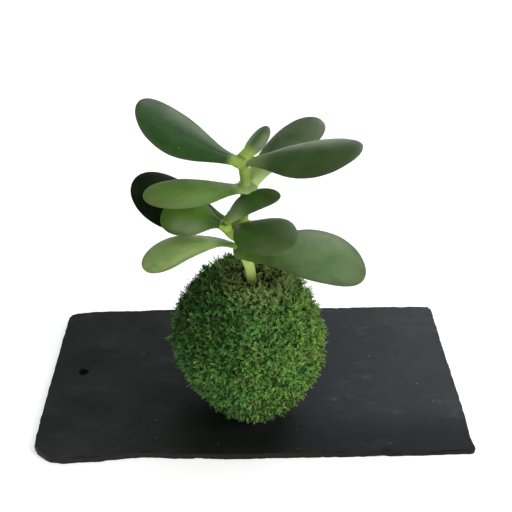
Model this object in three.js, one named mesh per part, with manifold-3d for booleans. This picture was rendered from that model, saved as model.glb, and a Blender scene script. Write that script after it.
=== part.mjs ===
// A kokedama: a young jade plant whose root ball is wrapped in living moss and stands on a slate tile.
// Millimetres, +Z up, front towards -Y. The origin is the middle of the slate's underside.

import * as THREE from "three";
import Module from "manifold-3d";

const wasm = await Module();
wasm.setup();

// Clearance between neighbouring pieces
const GAP = 0.3;

// Slate tile
const SLATE_THICK = 4;
const SLATE_CORNERS = [
  [-107.3, -69.3],
  [-86, -68.3],
  [-67.2, -66],
  [-53.6, -66.2],
  [-40, -67.4],
  [-13, -68.6],
  [55, -68.9],
  [96, -69.1],
  [122.5, -68.6],
  [124.6, -68],
  [125.5, -66.8],
  [124.9, -64],
  [124.6, -57.4],
  [125.2, -41],
  [125, -14],
  [124.5, 22],
  [124.2, 59],
  [124.3, 66],
  [122.6, 69.2],
  [117.2, 69.9],
  [65, 70.2],
  [0, 71.5],
  [-50, 72.3],
  [-106, 71.9],
  [-120, 70.4],
  [-123.6, 68.6],
  [-125.2, 65],
  [-125.5, 45],
  [-125.6, 4],
  [-125.4, -50],
  [-124.7, -58],
  [-122.4, -61.4],
  [-117.5, -65.8],
  [-114.4, -67.7],
  [-110.8, -68.9],
];
const SLATE_EDGE_STEP = 6;
const SLATE_RAGGED = 0.35;
const SLATE_CHIP = 1.3;
const SLATE_EDGE_FACE = { low: 0.9, high: 2.7 };
const NAIL_HOLE = {
  x: -106.3, y: 6.7, radius: 1.9, spallTop: 3.4, spallUnder: 2.1, uneven: 0.12, sides: 14,
};

// Ball of soil wrapped in moss
const BALL = { x: -1.5, y: -27, z: 52.5, radius: 43.2, halfHeight: 51.5 };
const MOSS_THICK = 9;
const TUFT = { count: 420, nudge: 0.12, height: 4.4, lowest: 0.55, spread: 0.095, sunk: 0.8 };
const MOSS_FACES_PER_EDGE = 15;
// Where the ball is dented, or bulges where the depth is negative
const DENTS = [
  { toward: [-0.72, -0.38, -0.58], depth: 3.6, reach: 0.5 },
  { toward: [-0.35, -0.6, -0.72], depth: 1.6, reach: 0.3 },
  { toward: [0.93, -0.2, -0.28], depth: -1, reach: 0.42 },
];
const CRATER = { x: 4, y: -29, radius: 17, flatPart: 0.25, depth: 7.5 };
const OPENING = { radius: 10.5, sides: 18, bottom: 72, top: 132 };
const SOIL_TOP = 94.5;
const SOIL_FACES_PER_EDGE = 7;
const CRUMB_HEIGHT = 0.9;

// Stem: its axis from the foot in the soil to the growing tip, with a radius at each point
const STEM_AXIS = [
  { at: [5.4, -31, 72], radius: 2.6 },
  { at: [3.7, -31, 83], radius: 2.7 },
  { at: [2, -31, 94], radius: 2.8 },
  { at: [0.6, -31, 105], radius: 2.8 },
  { at: [-2.2, -31, 115], radius: 3 },
  { at: [-3.4, -30.4, 122], radius: 3 },
  { at: [-2.7, -29.5, 130], radius: 3 },
  { at: [-0.1, -28, 150], radius: 2.8 },
  { at: [-1.2, -28, 164], radius: 2.6 },
  { at: [-1.1, -28, 168], radius: 1.4 },
];
const SHOOT_AXIS = [
  { at: [-3.2, -30.4, 120.5], radius: 2.1 },
  { at: [-6.6, -33.5, 124.9], radius: 2.2 },
  { at: [-9.4, -36.6, 129.5], radius: 2.2 },
  { at: [-10.4, -38, 133.6], radius: 2.2 },
  { at: [-10.5, -38.4, 136], radius: 1.3 },
];
const STEM_SIDES = 12;
const STEM_STEP = 2.5;
const RING = { swell: 0.6, width: 1.3 };
const STEM_TIP = { taper: 0.45, dome: 0.5 };

// Places on the stem where leaves grow, mostly in pairs
const NODE = {
  low: [-2.5, -31, 115.5],
  below: [-7.6, -34.1, 118.2],
  middle: [-3, -29.5, 129.5],
  shoot: [-10.3, -38, 133.2],
  shoot_top: [-10.6, -38.3, 136.6],
  upper: [-0.1, -28, 150],
  top: [-1.2, -28, 165],
  tip: [-1.2, -28, 167.3],
};

// Leaves. Angles in degrees: azimuth from +X towards +Y, rise of the midrib at the stem, bend is what the
// rise changes by towards the tip, sweep the same for the azimuth, roll is about the midrib. Cup is how far
// the margins stand above the midrib. Stalk is the width at the stem and widest the place of the full width,
// as parts of the width and length. Spread sets how soon the blade widens, rounding draws in the corners of
// the base, and steep is how much more the midrib rises right at the stem. Clasp is how far the blade tilts
// round the stem there, round the length of its rounded start and foot the length that is one with the stem.
const LEAVES = {
  leaf_top_left: {
    node: "top", azimuth: 167, rise: 12, bend: 35, roll: -12, sweep: 6,
    length: 61, width: 33, thick: 4, cup: -0.6, stalk: 0.3,
  },
  leaf_top_right: {
    node: "top", azimuth: -30, rise: 21, bend: -5, roll: 16, sweep: -12,
    length: 69.6, width: 30.8, thick: 4.6, cup: -2, stalk: 0.3, widest: 0.64, spread: 1,
  },
  leaf_young: {
    node: "tip", azimuth: 32, rise: 40, bend: 4, roll: 6, sweep: -5,
    length: 20.5, width: 12, thick: 3, cup: -0.5, stalk: 0.42, widest: 0.5,
  },
  leaf_upper_left: {
    node: "upper", azimuth: 210, rise: 20, bend: -20, roll: -5, sweep: 1,
    length: 57, width: 28, thick: 4.2, cup: -0.6, stalk: 0.38,
  },
  leaf_upper_right: {
    node: "upper", azimuth: 33.5, rise: 36, bend: -28, roll: -2, sweep: 15,
    length: 58, width: 26, thick: 4.2, cup: -1.6, stalk: 0.44, spread: 1.05, steep: 30,
  },
  leaf_middle_left: {
    node: "middle", azimuth: 166, rise: 3, bend: 35, roll: -20, sweep: 1,
    length: 62, width: 33, thick: 4.2, cup: -0.4,
  },
  leaf_middle_right: {
    node: "middle", azimuth: -63, rise: 31, bend: -45, roll: 8, sweep: 5,
    length: 45.5, width: 29.5, thick: 4.4, cup: 1, stalk: 0.3, widest: 0.58, spread: 0.68,
  },
  leaf_low_left: {
    node: "low", azimuth: 205, rise: 41, bend: -58, roll: 7, sweep: 33,
    length: 65.5, width: 28, thick: 4.2, cup: 0.4,
  },
  leaf_low_right: {
    node: "below", azimuth: -12.5, rise: 7.5, bend: -32, roll: 12, sweep: 7,
    length: 71.5, width: 38, thick: 4.2, cup: 2, stalk: 0.33, widest: 0.64, spread: 1.02,
    clasp: 36, round: 9, foot: 10.5,
  },
  leaf_shoot_left: {
    node: "shoot", azimuth: 178, rise: 34, bend: -51, roll: -20, sweep: -4,
    length: 35.5, width: 27, thick: 3.8, cup: 0.1, stalk: 0.22, widest: 0.58,
  },
  leaf_shoot_right: {
    node: "shoot_top", azimuth: 2, rise: 51, bend: -50, roll: 20, sweep: -4,
    length: 32.6, width: 14.6, thick: 3.4, cup: 0.8, stalk: 0.56, widest: 0.55, spread: 0.6, rounding: 0.55,
  },
};
const LEAF_DEFAULTS = {
  stalk: 0.21, widest: 0.62, spread: 1.15, rounding: 0, steep: 0, clasp: 0, round: 0, foot: 0,
};
const LEAF_STATIONS = 13;
const LEAF_SIDES = 12;
const LEAF_START = 2.2;
const FOOT_START = 0.7;
const FOOT_STATIONS = 6;
const LEAF_END = 0.996;
const MIDRIB_STEPS = 120;
const ROLL_OVER = 0.35;
const STEEP_OVER = 0.09;
const CLASP_OVER = { from: 0.34, to: 0.05 };
const ROUNDED_OVER = 0.12;
const TIP_BLUNTNESS = 2.3;

// Repeatable numbers between 0 and 1
function randomSource(seed) {
  let state = seed >>> 0;
  return () => {
    state = (Math.imul(state, 1664525) + 1013904223) >>> 0;
    return state / 4294967296;
  };
}

function smoothstep(low, high, value) {
  const t = THREE.MathUtils.clamp((value - low) / (high - low), 0, 1);
  return t * t * (3 - 2 * t);
}

function indexedGeometry(points, triangles) {
  const geometry = new THREE.BufferGeometry();
  geometry.setAttribute("position", new THREE.Float32BufferAttribute(points.flat(), 3));
  geometry.setIndex(triangles.flat());
  return geometry;
}

function solidOf(geometry) {
  return new wasm.Manifold(
    new wasm.Mesh({
      numProp: 3,
      vertProperties: new Float32Array(geometry.attributes.position.array),
      triVerts: new Uint32Array(geometry.index.array),
    }),
  );
}

function geometryOf(solid) {
  const mesh = solid.getMesh();
  const points = [];
  for (let i = 0; i < mesh.numVert; i++) {
    const start = i * mesh.numProp;
    points.push(Array.from(mesh.vertProperties.subarray(start, start + 3)));
  }
  return indexedGeometry(points, Array.from(mesh.triVerts));
}

// A closed skin over a row of rings with equal numbers of points, each end closed by a fan
function loftRings(rings) {
  const sides = rings[0].length;
  const points = rings.flat();
  const triangles = [];
  for (let ring = 0; ring + 1 < rings.length; ring++) {
    for (let i = 0; i < sides; i++) {
      const next = (i + 1) % sides;
      const a = ring * sides + i;
      const b = ring * sides + next;
      triangles.push([a, b, b + sides], [a, b + sides, a + sides]);
    }
  }
  [0, rings.length - 1].forEach((ring) => {
    const centre = points.length;
    const sum = rings[ring].reduce((total, p) => total.map((value, k) => value + p[k]), [0, 0, 0]);
    points.push(sum.map((value) => value / sides));
    for (let i = 0; i < sides; i++) {
      const a = ring * sides + i;
      const b = ring * sides + ((i + 1) % sides);
      triangles.push(ring === 0 ? [b, a, centre] : [a, b, centre]);
    }
  });
  return indexedGeometry(points, triangles);
}

// Unit directions and triangles of a sphere made by splitting an icosahedron's edges
function sphereGrid(facesPerEdge) {
  const raw = new THREE.IcosahedronGeometry(1, facesPerEdge - 1).attributes.position;
  const found = new Map();
  const directions = [];
  const corner = [];
  for (let i = 0; i < raw.count; i++) {
    const direction = new THREE.Vector3().fromBufferAttribute(raw, i).normalize();
    const key = direction.toArray().map((value) => Math.round(value * 1e5)).join();
    if (!found.has(key)) {
      found.set(key, directions.length);
      directions.push(direction);
    }
    corner.push(found.get(key));
  }
  const triangles = [];
  for (let i = 0; i < corner.length; i += 3) {
    triangles.push([corner[i], corner[i + 1], corner[i + 2]]);
  }
  return { directions, triangles };
}

// Points spread evenly over a sphere, each nudged off its place
function scatterDirections(count, nudge, random) {
  const goldenTurn = Math.PI * (3 - Math.sqrt(5));
  return Array.from({ length: count }, (_, i) => {
    const z = 1 - (2 * (i + 0.5)) / count;
    const across = Math.sqrt(1 - z * z);
    const point = new THREE.Vector3(across * Math.cos(i * goldenTurn), across * Math.sin(i * goldenTurn), z);
    const offset = new THREE.Vector3(random() - 0.5, random() - 0.5, random() - 0.5);
    return point.addScaledVector(offset, nudge).normalize();
  });
}

function ellipsoidPoint(direction, radius, halfHeight) {
  const across = Math.hypot(direction.x, direction.y) / radius;
  const up = direction.z / halfHeight;
  return direction.clone().multiplyScalar(1 / Math.hypot(across, up));
}

// Slate tile: a split plate with ragged, chipped edges and a nail hole that broke out at the faces
function slateOutline() {
  const random = randomSource(11);
  const outline = [];
  SLATE_CORNERS.forEach((from, i) => {
    const to = SLATE_CORNERS[(i + 1) % SLATE_CORNERS.length];
    const span = Math.hypot(to[0] - from[0], to[1] - from[1]);
    const steps = Math.max(1, Math.round(span / SLATE_EDGE_STEP));
    const normal = [(to[1] - from[1]) / span, (from[0] - to[0]) / span];
    for (let k = 0; k < steps; k++) {
      const t = k / steps;
      const ragged = k === 0 ? 0 : (random() - 0.5) * 2 * SLATE_RAGGED;
      outline.push({
        x: from[0] + (to[0] - from[0]) * t + normal[0] * ragged,
        y: from[1] + (to[1] - from[1]) * t + normal[1] * ragged,
        normal,
        chip: random() ** 3,
        bevel: random(),
      });
    }
  });
  return outline;
}

function slateTile() {
  const outline = slateOutline();
  const levels = [
    { z: 0, inset: (p) => 0.3 + 0.5 * p.bevel, hole: NAIL_HOLE.spallUnder },
    { z: SLATE_EDGE_FACE.low, inset: (p) => 0.1 * p.bevel, hole: NAIL_HOLE.radius },
    { z: SLATE_EDGE_FACE.high, inset: (p) => 0.25 * p.chip, hole: NAIL_HOLE.radius },
    { z: SLATE_THICK, inset: (p) => 0.35 + SLATE_CHIP * p.chip, hole: NAIL_HOLE.spallTop },
  ];
  const points = [];
  const triangles = [];
  const sides = outline.length;
  const stride = sides + NAIL_HOLE.sides;
  levels.forEach((level) => {
    outline.forEach((p) => {
      const inset = level.inset(p);
      points.push([p.x - p.normal[0] * inset, p.y - p.normal[1] * inset, level.z]);
    });
    for (let i = 0; i < NAIL_HOLE.sides; i++) {
      const angle = (2 * Math.PI * i) / NAIL_HOLE.sides;
      const radius = level.hole * (1 + NAIL_HOLE.uneven * Math.sin(3 * angle + level.z));
      points.push([NAIL_HOLE.x + radius * Math.cos(angle), NAIL_HOLE.y + radius * Math.sin(angle), level.z]);
    }
  });
  for (let level = 0; level + 1 < levels.length; level++) {
    const base = level * stride;
    for (let i = 0; i < sides; i++) {
      const a = base + i;
      const b = base + ((i + 1) % sides);
      triangles.push([a, b, b + stride], [a, b + stride, a + stride]);
    }
    for (let i = 0; i < NAIL_HOLE.sides; i++) {
      const a = base + sides + i;
      const b = base + sides + ((i + 1) % NAIL_HOLE.sides);
      triangles.push([b, a, a + stride], [b, a + stride, b + stride]);
    }
  }
  [0, levels.length - 1].forEach((level) => {
    const base = level * stride;
    const loop = points.slice(base, base + stride).map((p) => new THREE.Vector2(p[0], p[1]));
    const faces = THREE.ShapeUtils.triangulateShape(loop.slice(0, sides), [loop.slice(sides)]);
    faces.forEach(([a, b, c]) => {
      triangles.push(level === 0 ? [base + c, base + b, base + a] : [base + a, base + b, base + c]);
    });
  });
  return indexedGeometry(points, triangles);
}

// Moss: a thick wrap raised in tufts, sunk in a crater round the stem, open at the bottom of the crater
function tuftHeight(direction, tufts) {
  let height = 0;
  tufts.forEach((tuft) => {
    const away = direction.distanceToSquared(tuft.direction);
    height = Math.max(height, tuft.height * Math.exp(-away / (TUFT.spread * TUFT.spread)));
  });
  return height;
}

// How deep the dents of the ball are in one direction
function dentDepth(direction) {
  return DENTS.reduce((sum, dent) => {
    const away = direction.distanceTo(new THREE.Vector3(...dent.toward).normalize());
    return sum + dent.depth * Math.exp(-((away / dent.reach) ** 2));
  }, 0);
}

function mossSurface() {
  const random = randomSource(23);
  const tufts = scatterDirections(TUFT.count, TUFT.nudge, random).map((direction) => ({
    direction,
    height: THREE.MathUtils.lerp(TUFT.lowest, 1, random()),
  }));
  const grid = sphereGrid(MOSS_FACES_PER_EDGE);
  const points = grid.directions.map((direction) => {
    const relief = TUFT.height * (tuftHeight(direction, tufts) - TUFT.sunk) - dentDepth(direction);
    const skin = ellipsoidPoint(direction, BALL.radius, BALL.halfHeight).addScaledVector(direction, relief);
    skin.add(new THREE.Vector3(BALL.x, BALL.y, BALL.z));
    const fromCrater = Math.hypot(skin.x - CRATER.x, skin.y - CRATER.y);
    if (direction.z > 0) {
      skin.z -= CRATER.depth * (1 - smoothstep(CRATER.flatPart, 1, fromCrater / CRATER.radius));
    }
    skin.z = Math.max(skin.z, SLATE_THICK);
    return skin.toArray();
  });
  return solidOf(indexedGeometry(points, grid.triangles));
}

// The way through the moss at the bottom of the crater
function craterOpening() {
  const rings = [OPENING.bottom, OPENING.top].map((z) =>
    Array.from({ length: OPENING.sides }, (_, i) => {
      const angle = (2 * Math.PI * i) / OPENING.sides;
      const radius = OPENING.radius * (1 + 0.1 * Math.sin(2 * angle + 0.6) + 0.06 * Math.sin(5 * angle));
      return [CRATER.x + radius * Math.cos(angle), CRATER.y + radius * Math.sin(angle), z];
    }),
  );
  return solidOf(loftRings(rings));
}

function mossWrap() {
  const inner = solidOf(soilSurface(GAP, 0));
  return geometryOf(mossSurface().subtract(inner).subtract(craterOpening()));
}

// Soil: the root ball inside the moss, crumbly where it shows round the stem
function soilSurface(grow, crumbs) {
  const grid = sphereGrid(SOIL_FACES_PER_EDGE);
  const random = randomSource(31);
  const radius = BALL.radius - MOSS_THICK + grow;
  const bottom = SLATE_THICK + MOSS_THICK - grow;
  const top = SOIL_TOP + grow;
  const points = grid.directions.map((direction) => {
    const skin = ellipsoidPoint(direction, radius, (top - bottom) / 2);
    const place = [skin.x + BALL.x, skin.y + BALL.y, skin.z + (top + bottom) / 2];
    const fromCrater = Math.hypot(place[0] - CRATER.x, place[1] - CRATER.y);
    const shows = direction.z > 0 ? 1 - smoothstep(0.5, 0.8, fromCrater / OPENING.radius) : 0;
    place[2] += (random() - 0.3) * crumbs * shows;
    return place;
  });
  return indexedGeometry(points, grid.triangles);
}

function soilCore(stemHole) {
  return geometryOf(solidOf(soilSurface(0, CRUMB_HEIGHT)).subtract(stemHole));
}

// Stem: a round tube along an axis, swollen at the scar lines where leaf pairs grow
function tubeSolid(axis, ringHeights, grow) {
  const curve = new THREE.CatmullRomCurve3(axis.map((p) => new THREE.Vector3(...p.at)));
  const steps = Math.round(curve.getLength() / STEM_STEP);
  const rings = [];
  for (let i = 0; i <= steps; i++) {
    const t = i / steps;
    const centre = curve.getPoint(t);
    const tangent = curve.getTangent(t);
    const side = new THREE.Vector3(0, 1, 0).cross(tangent).normalize();
    const front = tangent.clone().cross(side);
    const place = t * (axis.length - 1);
    const low = Math.min(Math.floor(place), axis.length - 2);
    const plain = THREE.MathUtils.lerp(axis[low].radius, axis[low + 1].radius, place - low);
    const swell = ringHeights.reduce(
      (most, height) => Math.max(most, RING.swell * Math.exp(-(((centre.z - height) / RING.width) ** 2))),
      0,
    );
    const radius = plain + swell + grow;
    if (i === 0) {
      centre.addScaledVector(tangent, -grow);
    }
    rings.push(
      Array.from({ length: STEM_SIDES }, (_, k) => {
        const angle = (2 * Math.PI * k) / STEM_SIDES;
        return centre
          .clone()
          .addScaledVector(side, radius * Math.cos(angle))
          .addScaledVector(front, radius * Math.sin(angle))
          .toArray();
      }),
    );
    if (i === steps) {
      const tip = centre.clone().addScaledVector(tangent, (radius * STEM_TIP.dome) / STEM_TIP.taper);
      rings.push(rings[i].map((p) => new THREE.Vector3(...p).lerp(tip, STEM_TIP.taper).toArray()));
    }
  }
  return solidOf(loftRings(rings));
}

// Stem and side shoot, one with the feet of the leaves that clasp the stem
function stemSolid(grow) {
  const main = tubeSolid(STEM_AXIS, [NODE.low[2], NODE.middle[2], NODE.upper[2], NODE.top[2]], grow);
  const shoot = tubeSolid(SHOOT_AXIS, [NODE.shoot[2]], grow);
  const feet = Object.values(LEAVES)
    .filter((sizes) => sizes.foot)
    .map((sizes) => ({ ...LEAF_DEFAULTS, ...sizes }))
    .map((leaf) => leafRings(leaf, FOOT_START - grow, leaf.foot + grow, FOOT_STATIONS, grow));
  return feet.reduce((stem, rings) => stem.add(solidOf(loftRings(rings))), main.add(shoot));
}

// Leaf: a thick blade lofted along a curving midrib, from one distance along it to another
function leafRings(leaf, from, to, stations, grow) {
  const midrib = [new THREE.Vector3(...NODE[leaf.node])];
  const heading = (s) => {
    const steeper = leaf.steep * Math.exp(-s / STEEP_OVER);
    const rise = THREE.MathUtils.degToRad(leaf.rise + leaf.bend * s + steeper);
    const azimuth = THREE.MathUtils.degToRad(leaf.azimuth + leaf.sweep * s);
    const flat = Math.cos(rise);
    return new THREE.Vector3(flat * Math.cos(azimuth), flat * Math.sin(azimuth), Math.sin(rise));
  };
  const step = leaf.length / MIDRIB_STEPS;
  for (let i = 0; i < MIDRIB_STEPS; i++) {
    midrib.push(midrib[i].clone().addScaledVector(heading((i + 0.5) / MIDRIB_STEPS), step));
  }
  const rings = [];
  for (let k = 0; k <= stations; k++) {
    const s = THREE.MathUtils.lerp(from, to, Math.sin((Math.PI / 2) * (k / stations))) / leaf.length;
    const near = Math.min(Math.floor(s * MIDRIB_STEPS), MIDRIB_STEPS - 1);
    const centre = midrib[near].clone().lerp(midrib[near + 1], s * MIDRIB_STEPS - near);
    const along = heading(s);
    const azimuth = THREE.MathUtils.degToRad(leaf.azimuth + leaf.sweep * s);
    const level = new THREE.Vector3(-Math.sin(azimuth), Math.cos(azimuth), 0);
    const roll = leaf.roll * smoothstep(0, ROLL_OVER, s);
    const clasp = leaf.clasp * smoothstep(CLASP_OVER.from, CLASP_OVER.to, s);
    const side = level.applyAxisAngle(along, THREE.MathUtils.degToRad(roll + clasp));
    const up = along.clone().cross(side);
    const past = (s - leaf.widest) / (1 - leaf.widest);
    const blade =
      s < leaf.widest
        ? 0.5 - 0.5 * Math.cos(Math.PI * (s / leaf.widest) ** leaf.spread)
        : Math.sqrt(Math.max(0, 1 - past ** TIP_BLUNTNESS));
    const base = 1 - leaf.rounding * (1 - smoothstep(0, ROUNDED_OVER, s));
    const stalked = base * (leaf.stalk + (1 - leaf.stalk) * blade);
    const fromFullSize = Math.max(0, 1 - (s * leaf.length + grow) / leaf.round);
    const rounded = leaf.round ? Math.sqrt(1 - fromFullSize ** 2) : 1;
    const halfWidth = (leaf.width / 2) * (s < leaf.widest ? stalked : blade) * rounded + grow;
    const thickness = s < leaf.widest ? 0.75 + 0.25 * blade : blade ** 0.8;
    const halfThick = (leaf.thick / 2) * thickness * rounded + grow;
    rings.push(
      Array.from({ length: LEAF_SIDES }, (_, i) => {
        const angle = (2 * Math.PI * i) / LEAF_SIDES;
        const across = halfWidth * Math.cos(angle);
        const swell = halfThick * Math.sin(angle) * Math.abs(Math.sin(angle)) ** 0.3;
        const lift = leaf.cup * (across / (leaf.width / 2)) ** 2;
        return centre
          .clone()
          .addScaledVector(side, across)
          .addScaledVector(up, swell + lift)
          .toArray();
      }),
    );
  }
  return rings;
}

// The blade without the stem's room, and without any scrap on the stem's far side
function leafGeometry(leaf, roomForStem) {
  const rings = leafRings(leaf, LEAF_START, LEAF_END * leaf.length, LEAF_STATIONS, 0);
  const bodies = solidOf(loftRings(rings)).subtract(roomForStem).decompose();
  bodies.sort((a, b) => b.volume() - a.volume());
  return geometryOf(bodies[0]);
}

const MATERIALS = {
  slate: new THREE.MeshStandardMaterial({ color: 0x272b2d, roughness: 0.55, metalness: 0 }),
  moss: new THREE.MeshStandardMaterial({ color: 0x3f6a24, roughness: 0.95, metalness: 0 }),
  soil: new THREE.MeshStandardMaterial({ color: 0x3a2c1a, roughness: 1, metalness: 0 }),
  stem: new THREE.MeshStandardMaterial({ color: 0x8fae4c, roughness: 0.45, metalness: 0 }),
  leaf: new THREE.MeshStandardMaterial({ color: 0x3d5c30, roughness: 0.38, metalness: 0 }),
};

function addMesh(group, name, geometry, material) {
  const mesh = new THREE.Mesh(geometry, material);
  mesh.geometry.computeVertexNormals();
  mesh.name = name;
  group.add(mesh);
}

const roomForStem = stemSolid(GAP);
const kokedama = new THREE.Group();
addMesh(kokedama, "slate_tile", slateTile(), MATERIALS.slate);
addMesh(kokedama, "moss_wrap", mossWrap(), MATERIALS.moss);
addMesh(kokedama, "soil_core", soilCore(roomForStem), MATERIALS.soil);
addMesh(kokedama, "stem", geometryOf(stemSolid(0)), MATERIALS.stem);
Object.entries(LEAVES).forEach(([name, sizes]) => {
  const leaf = { ...LEAF_DEFAULTS, ...sizes };
  addMesh(kokedama, name, leafGeometry(leaf, roomForStem), MATERIALS.leaf);
});

export default kokedama;
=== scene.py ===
# A kokedama: a young jade plant in a ball of living moss on a slate tile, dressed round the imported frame.
# Lengths are millimetres in the frame's axes, and become metres where a mesh is made. Materials see places in
# metres. Angles are degrees.
import math

import bmesh
import bpy
import numpy as np
from mathutils import Matrix, Vector, noise
from mathutils.geometry import delaunay_2d_cdt


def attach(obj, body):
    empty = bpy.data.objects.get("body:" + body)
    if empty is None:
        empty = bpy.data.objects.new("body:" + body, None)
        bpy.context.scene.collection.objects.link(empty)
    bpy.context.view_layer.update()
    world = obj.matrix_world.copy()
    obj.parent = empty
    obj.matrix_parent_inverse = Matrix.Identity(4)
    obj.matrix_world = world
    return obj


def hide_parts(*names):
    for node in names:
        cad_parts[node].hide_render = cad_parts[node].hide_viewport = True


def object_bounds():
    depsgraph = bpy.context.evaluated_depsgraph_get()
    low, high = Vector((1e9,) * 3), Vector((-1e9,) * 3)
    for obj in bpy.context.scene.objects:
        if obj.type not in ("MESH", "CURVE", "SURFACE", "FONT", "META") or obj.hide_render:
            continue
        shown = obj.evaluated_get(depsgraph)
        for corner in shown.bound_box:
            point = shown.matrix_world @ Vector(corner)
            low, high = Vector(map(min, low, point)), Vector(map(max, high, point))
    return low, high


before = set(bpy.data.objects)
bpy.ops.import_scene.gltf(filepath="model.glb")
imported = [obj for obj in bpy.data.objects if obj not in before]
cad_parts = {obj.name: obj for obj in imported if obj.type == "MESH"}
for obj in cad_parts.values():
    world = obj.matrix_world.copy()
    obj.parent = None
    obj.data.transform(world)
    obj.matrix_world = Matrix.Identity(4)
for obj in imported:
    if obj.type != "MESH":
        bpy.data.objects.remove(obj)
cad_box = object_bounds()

MM = 0.001
FULL_TURN = 2.0 * math.pi
BODY = "root"
UP = np.array([0.0, 0.0, 1.0])
SEEDS = {"tufts": 23, "slate": 5, "felt": 8, "soil": 31, "fronds": 77}

# Camera: a pinhole placed so that the tile's corners and the leaves fall where the photograph has them
IMAGE_PIXELS = 512
CAMERA = {"place": (4.1, -430.8, 363.6), "down": 32.25, "turn": 0.03, "roll": -1.23, "focal_pixels": 888.6}
SENSOR_WIDTH = 36.0

# Slate tile, its corners anticlockwise from the front left
SLATE_THICK = 4.0
SLATE_CORNERS = (
    (-107.3, -69.3), (-86, -68.3), (-67.2, -66), (-53.6, -66.2), (-40, -67.4), (-13, -68.6), (55, -68.9),
    (96, -69.1), (122.5, -68.6), (124.6, -68), (125.5, -66.8), (124.9, -64), (124.6, -57.4), (125.2, -41),
    (125, -14), (124.5, 22), (124.2, 59), (124.3, 66), (122.6, 69.2), (117.2, 69.9), (65, 70.2), (0, 71.5),
    (-50, 72.3), (-106, 71.9), (-120, 70.4), (-123.6, 68.6), (-125.2, 65), (-125.5, 45), (-125.6, 4),
    (-125.4, -50), (-124.7, -58), (-122.4, -61.4), (-117.5, -65.8), (-114.4, -67.7), (-110.8, -68.9),
)
SLATE_EDGE_STEP = 1.3
SLATE_GRID_STEP = 1.7
# Height, size and number of the terraces of the split face, and depth and size of its grain
SLATE_FACE = {"terrace": 0.07, "terrace_size": 55.0, "terraces": 2.2, "grain": 0.035, "grain_size": 6.0}
# How far the edge wavers, lies back in each layer, leans and is chipped, there and at the face
SLATE_EDGE = {"ragged": 0.3, "inset": 0.12, "uneven": 0.2, "lean": 0.12, "chips": 0.7, "face_chips": 1.3}
SLATE_LAYERS = (0.0, 0.5, 1.05, 1.6, 2.15, 2.75, 3.35, 4.0)
SLATE_WELD = 0.002
NAIL_HOLE = {"at": (-106.3, 6.7), "sides": 40}
NAIL_HOLE_RADII = ((0.0, 1.2), (0.9, 1.5), (2.4, 1.9), (3.1, 2.4), (3.7, 3.0), (4.0, 3.4))

# Ball of soil wrapped in moss
BALL = {"x": -1.5, "y": -27.0, "z": 52.5, "radius": 43.2, "half_height": 51.5}
# Where the ball is dented, or bulges where the depth is negative: direction from its middle, depth and reach
DENTS = (((-0.72, -0.38, -0.58), 3.6, 0.5), ((-0.35, -0.6, -0.72), 1.6, 0.3), ((0.93, -0.2, -0.28), -1.0, 0.42))
MOSS_THICK = 9.0
TUFT = {"count": 420, "nudge": 0.12, "height": 4.4, "lowest": 0.55, "spread": 0.095, "sunk": 0.8}
# Factor, step and limit of the random draws that place the tufts
TUFT_DRAWS = (1664525, 1013904223, 4294967296)
CRATER = {"at": (4.0, -29.0), "radius": 17.0, "flat_part": 0.25, "depth": 7.5}
OPENING_RADIUS = 9.0
SOIL_TOP = 94.5
SOIL_GRAINS = 260

# Stem: points of its axis with the radius there, from the foot in the soil to the growing tip
STEM_AXIS = (
    (5.4, -31, 72, 2.6), (3.7, -31, 83, 2.7), (2, -31, 94, 2.8), (0.6, -31, 105, 2.8), (-2.2, -31, 115, 3),
    (-3.4, -30.4, 122, 3), (-2.7, -29.5, 130, 3), (-0.1, -28, 150, 2.8), (-1.2, -28, 164, 2.6),
    (-1.1, -28, 168, 1.4),
)
SHOOT_AXIS = (
    (-3.2, -30.4, 120.5, 2.1), (-6.6, -33.5, 124.9, 2.2), (-9.4, -36.6, 129.5, 2.2), (-10.4, -38, 133.6, 2.2),
    (-10.5, -38.4, 136, 1.3),
)
RING = {"swell": 0.6, "width": 1.3}

# Places on the stem where leaves grow
NODE = {
    "low": (-2.5, -31, 115.5),
    "below": (-7.6, -34.1, 118.2),
    "middle": (-3, -29.5, 129.5),
    "shoot": (-10.3, -38, 133.2),
    "shoot_top": (-10.6, -38.3, 136.6),
    "upper": (-0.1, -28, 150),
    "top": (-1.2, -28, 165),
    "tip": (-1.2, -28, 167.3),
}

# Leaves: a row of numbers for each, and what differs from the defaults. Azimuth is from +X towards +Y, and
# rise is the midrib's slope at the stem. Bend and sweep are how far slope and azimuth change towards the tip,
# and roll is how far the blade tilts. Cup lifts the margins. Stalk is the width at the stem and widest the
# place of the full width, as parts of the width and length. Spread, blunt and rounding shape the outline before
# and after that place and at the stem. Steep is how much more the midrib rises right at the stem, and clasp how
# far the blade tilts round it there. Foot and round are the lengths of the foot that is one with the stem and
# of its rounded start. Tone is the blade's look, pale is how far the stalk's colour reaches, and the bloom pair
# is how far the margins, right and left seen from the stem, take a pale grey that is partly waxy bloom and
# partly painted sheen.
LEAF_DEFAULTS = dict(
    stalk=0.21, widest=0.62, spread=1.15, blunt=2.3, rounding=0.0, steep=0.0, clasp=0.0, foot=6.5, round=0.0,
    tone="dark", pale=11, bloom_and_sheen=(0.0, 0.0),
)
LEAF_COLUMNS = ("node", "azimuth", "rise", "bend", "roll", "sweep", "length", "width", "thick", "cup")
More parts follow.
